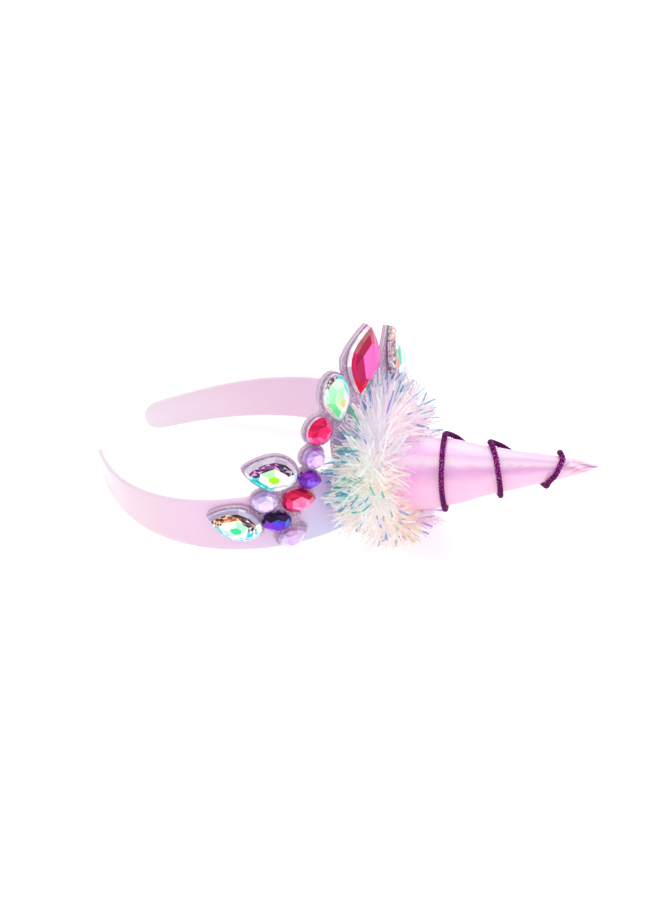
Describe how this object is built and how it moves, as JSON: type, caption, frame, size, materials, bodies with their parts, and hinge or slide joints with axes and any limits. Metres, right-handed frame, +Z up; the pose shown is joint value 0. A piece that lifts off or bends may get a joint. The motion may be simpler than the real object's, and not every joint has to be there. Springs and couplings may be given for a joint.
{
  "type": "unicorn horn headband",
  "caption": "Flat plastic hairband with a felt crest of cut stones and a stuffed, cord-wound unicorn horn in a tinsel ruff, lying on its edge.",
  "frame": {"origin": "on the surface that the headband lies on, below the middle of its bounding box", "axes": "+X along the horn's side, away from the head; +Y across the head, towards the far arm; +Z up from the surface, along the band's width"},
  "size_m": [0.2226, 0.1224, 0.0958],
  "materials": {
    "band_plastic": "pearly pink plastic, lilac towards the crown",
    "glitter_felt": "mauve glitter felt, two layers",
    "horn_film": "glossy iridescent pink film over stuffing",
    "twisted_cord": "shiny twisted purple cord",
    "tinsel": "pearl-white iridescent tinsel",
    "crystal_stone": "cut foil-backed acrylic, iridescent clear",
    "magenta_stone": "cut foil-backed acrylic, magenta",
    "rose_stone": "cut foil-backed acrylic, rose",
    "violet_stone": "cut foil-backed acrylic, deep violet",
    "lilac_stone": "cut foil-backed acrylic, lilac"
  },
  "bodies": {
    "root": {"headband": "band_plastic", "backing_sheet": "glitter_felt", "horn": "horn_film", "horn_cord": "twisted_cord", "tinsel_ruff": "tinsel", "magenta_navette": "magenta_stone", "near_crystal_pear_low": "crystal_stone", "near_plum_oval": "violet_stone", "near_lilac_drop": "lilac_stone", "near_rose_drop": "rose_stone", "near_lilac_oval": "lilac_stone", "near_crystal_pear_high": "crystal_stone", "near_violet_drop": "violet_stone", "near_lilac_round": "lilac_stone", "near_magenta_oval": "magenta_stone", "near_crystal_oval": "crystal_stone", "far_crystal_navette": "crystal_stone", "far_magenta_oval": "magenta_stone", "far_crystal_pear_low": "crystal_stone", "far_plum_oval": "violet_stone", "far_lilac_drop": "lilac_stone", "far_rose_drop": "rose_stone", "far_lilac_oval": "lilac_stone", "far_crystal_pear_high": "crystal_stone", "far_violet_drop": "violet_stone", "far_lilac_round": "lilac_stone"}
  },
  "joints": []
}
